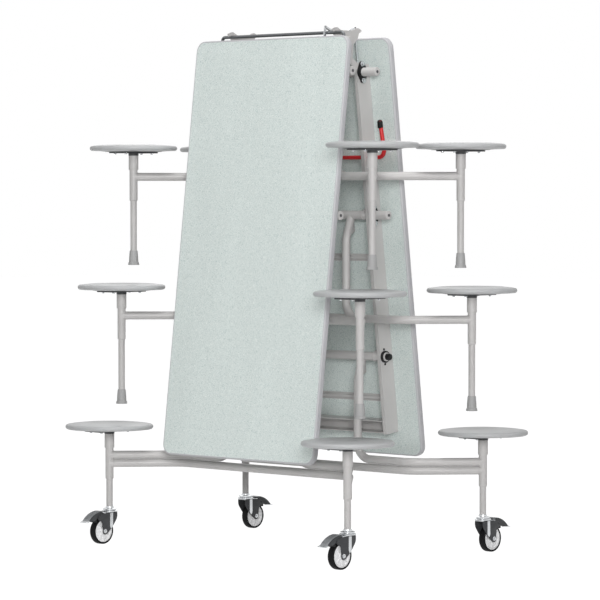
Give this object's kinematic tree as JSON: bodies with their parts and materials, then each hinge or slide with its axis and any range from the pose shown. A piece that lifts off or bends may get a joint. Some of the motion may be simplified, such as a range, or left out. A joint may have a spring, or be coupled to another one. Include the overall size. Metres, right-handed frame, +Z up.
{
  "type": "folding cafeteria table with stools",
  "caption": "Mobile folding cafeteria table with attached round stools, folded upright on braked casters; the halves open flat about a centre hinge.",
  "frame": {"origin": "on the floor under the middle of the folded table", "axes": "+Z up, X along the table's length with the far half at +X, Y across the table along the centre hinge"},
  "size_m": [1.031, 1.5236, 1.886],
  "materials": {
    "laminate": "speckled pale grey-green laminate on board",
    "painted_frame": "semi-gloss warm light grey powder coat",
    "seat_shell": "semi-gloss grey moulding",
    "foot_tip": "matte grey",
    "zinc": "bright zinc plate",
    "caster_wheel": "black tread on a pale hub",
    "dark_steel": "oiled spring steel",
    "red_paint": "gloss red",
    "black_grip": "matte black dip"
  },
  "bodies": {
    "far_top": {"far_tabletop": "laminate", "far_rail_right": "painted_frame", "far_rail_left": "painted_frame", "far_end_channel": "painted_frame", "far_inner_stiffener": "painted_frame", "far_outer_stiffener": "painted_frame"},
    "far_base_stools": {"far_base_frame": "painted_frame", "far_base_seat_left": "seat_shell", "far_base_seat_right": "seat_shell"},
    "far_middle_stools": {"far_middle_frame": "painted_frame", "far_middle_seat_left": "seat_shell", "far_middle_seat_right": "seat_shell", "far_middle_foot_left": "foot_tip", "far_middle_foot_right": "foot_tip"},
    "far_upper_stools": {"far_upper_frame": "painted_frame", "far_upper_seat_left": "seat_shell", "far_upper_seat_right": "seat_shell", "far_upper_foot_left": "foot_tip", "far_upper_foot_right": "foot_tip"},
    "far_link": {"far_stool_link": "zinc"},
    "far_caster_fork_left": {"far_caster_fork_left": "zinc"},
    "far_caster_wheel_left": {"far_caster_wheel_left": "caster_wheel"},
    "far_caster_pedal_left": {"far_caster_pedal_left": "zinc"},
    "far_caster_fork_right": {"far_caster_fork_right": "zinc"},
    "far_caster_wheel_right": {"far_caster_wheel_right": "caster_wheel"},
    "far_caster_pedal_right": {"far_caster_pedal_right": "zinc"},
    "near_top": {"near_tabletop": "laminate", "near_rail_right": "painted_frame", "near_rail_left": "painted_frame", "near_end_channel": "painted_frame", "near_inner_stiffener": "painted_frame", "near_outer_stiffener": "painted_frame"},
    "near_base_stools": {"near_base_frame": "painted_frame", "near_base_seat_left": "seat_shell", "near_base_seat_right": "seat_shell"},
    "near_middle_stools": {"near_middle_frame": "painted_frame", "near_middle_seat_left": "seat_shell", "near_middle_seat_right": "seat_shell", "near_middle_foot_left": "foot_tip", "near_middle_foot_right": "foot_tip"},
    "near_upper_stools": {"near_upper_frame": "painted_frame", "near_upper_seat_left": "seat_shell", "near_upper_seat_right": "seat_shell", "near_upper_foot_left": "foot_tip", "near_upper_foot_right": "foot_tip"},
    "near_link": {"near_stool_link": "zinc"},
    "near_caster_fork_left": {"near_caster_fork_left": "zinc"},
    "near_caster_wheel_left": {"near_caster_wheel_left": "caster_wheel"},
    "near_caster_pedal_left": {"near_caster_pedal_left": "zinc"},
    "near_caster_fork_right": {"near_caster_fork_right": "zinc"},
    "near_caster_wheel_right": {"near_caster_wheel_right": "caster_wheel"},
    "near_caster_pedal_right": {"near_caster_pedal_right": "zinc"},
    "release": {"release_bar": "red_paint", "release_grip": "black_grip"},
    "centre_hinge": {"hinge_plate_right": "painted_frame", "hinge_plate_left": "painted_frame", "hinge_pin_right": "zinc", "hinge_pin_left": "zinc", "equaliser": "zinc", "torsion_bar": "dark_steel"}
  },
  "joints": [
    {"name": "fold", "type": "hinge", "parent": "far_base_stools", "child": "far_top", "pos_m": [0.18816, 0, 0.6985], "axis": [0, -1, 0], "range_deg": [0, 83.1]},
    {"name": "centre_hinge_far", "type": "hinge", "parent": "far_top", "child": "centre_hinge", "pos_m": [0, 0, 1.83714], "axis": [0, -1, 0], "range_deg": [-83.1, 0]},
    {"name": "centre_hinge_near", "type": "hinge", "parent": "far_top", "child": "near_top", "pos_m": [0, 0, 1.83714], "axis": [0, -1, 0], "range_deg": [-166.2, 0]},
    {"name": "far_upper_pivot", "type": "hinge", "parent": "far_top", "child": "far_upper_stools", "pos_m": [0.06417, 0, 1.72303], "axis": [0, -1, 0], "range_deg": [-83.1, 0]},
    {"name": "far_middle_pivot", "type": "hinge", "parent": "far_top", "child": "far_middle_stools", "pos_m": [0.12616, 0, 1.21076], "axis": [0, -1, 0], "range_deg": [-83.1, 0]},
    {"name": "far_link_pivot", "type": "hinge", "parent": "far_base_stools", "child": "far_link", "pos_m": [0.21216, 0, 0.7225], "axis": [0, -1, 0], "range_deg": [0, 83.1]},
    {"name": "near_upper_pivot", "type": "hinge", "parent": "near_top", "child": "near_upper_stools", "pos_m": [-0.06417, 0, 1.72303], "axis": [0, -1, 0], "range_deg": [0, 83.1]},
    {"name": "near_middle_pivot", "type": "hinge", "parent": "near_top", "child": "near_middle_stools", "pos_m": [-0.12616, 0, 1.21076], "axis": [0, -1, 0], "range_deg": [0, 83.1]},
    {"name": "near_base_pivot", "type": "hinge", "parent": "near_top", "child": "near_base_stools", "pos_m": [-0.18816, 0, 0.6985], "axis": [0, -1, 0], "range_deg": [0, 83.1]},
    {"name": "near_link_pivot", "type": "hinge", "parent": "near_base_stools", "child": "near_link", "pos_m": [-0.21216, 0, 0.7225], "axis": [0, -1, 0], "range_deg": [-83.1, 0]},
    {"name": "far_left_swivel", "type": "hinge", "parent": "far_base_stools", "child": "far_caster_fork_left", "pos_m": [0.35616, 0.6, 0], "axis": [0, 0, 1], "continuous": true},
    {"name": "far_left_wheel", "type": "hinge", "parent": "far_caster_fork_left", "child": "far_caster_wheel_left", "pos_m": [0.39616, 0.6, 0.048], "axis": [0, 1, 0], "continuous": true},
    {"name": "far_left_brake", "type": "hinge", "parent": "far_caster_fork_left", "child": "far_caster_pedal_left", "pos_m": [0.42416, 0.6, 0.1], "axis": [0, 1, 0], "range_deg": [0, 9]},
    {"name": "far_right_swivel", "type": "hinge", "parent": "far_base_stools", "child": "far_caster_fork_right", "pos_m": [0.35616, -0.6, 0], "axis": [0, 0, 1], "continuous": true},
    {"name": "far_right_wheel", "type": "hinge", "parent": "far_caster_fork_right", "child": "far_caster_wheel_right", "pos_m": [0.39616, -0.6, 0.048], "axis": [0, 1, 0], "continuous": true},
    {"name": "far_right_brake", "type": "hinge", "parent": "far_caster_fork_right", "child": "far_caster_pedal_right", "pos_m": [0.42416, -0.6, 0.1], "axis": [0, 1, 0], "range_deg": [0, 9]},
    {"name": "near_left_swivel", "type": "hinge", "parent": "near_base_stools", "child": "near_caster_fork_left", "pos_m": [-0.35616, 0.6, 0], "axis": [0, 0, 1], "continuous": true},
    {"name": "near_left_wheel", "type": "hinge", "parent": "near_caster_fork_left", "child": "near_caster_wheel_left", "pos_m": [-0.39616, 0.6, 0.048], "axis": [0, 1, 0], "continuous": true},
    {"name": "near_left_brake", "type": "hinge", "parent": "near_caster_fork_left", "child": "near_caster_pedal_left", "pos_m": [-0.42416, 0.6, 0.1], "axis": [0, -1, 0], "range_deg": [0, 9]},
    {"name": "near_right_swivel", "type": "hinge", "parent": "near_base_stools", "child": "near_caster_fork_right", "pos_m": [-0.35616, -0.6, 0], "axis": [0, 0, 1], "continuous": true},
    {"name": "near_right_wheel", "type": "hinge", "parent": "near_caster_fork_right", "child": "near_caster_wheel_right", "pos_m": [-0.39616, -0.6, 0.048], "axis": [0, 1, 0], "continuous": true},
    {"name": "near_right_brake", "type": "hinge", "parent": "near_caster_fork_right", "child": "near_caster_pedal_right", "pos_m": [-0.42416, -0.6, 0.1], "axis": [0, -1, 0], "range_deg": [0, 9]},
    {"name": "release", "type": "hinge", "parent": "far_top", "child": "release", "pos_m": [0.10106, 0, 1.41825], "axis": [0, -1, 0], "range_deg": [0, 45]}
  ],
  "couplings": [
    {"joint": "centre_hinge_far", "follows": "fold", "ratio": -1},
    {"joint": "centre_hinge_near", "follows": "fold", "ratio": -2},
    {"joint": "far_upper_pivot", "follows": "fold", "ratio": -1},
    {"joint": "far_middle_pivot", "follows": "fold", "ratio": -1},
    {"joint": "far_link_pivot", "follows": "fold", "ratio": 1},
    {"joint": "near_upper_pivot", "follows": "fold", "ratio": 1},
    {"joint": "near_middle_pivot", "follows": "fold", "ratio": 1},
    {"joint": "near_base_pivot", "follows": "fold", "ratio": 1},
    {"joint": "near_link_pivot", "follows": "fold", "ratio": -1}
  ]
}
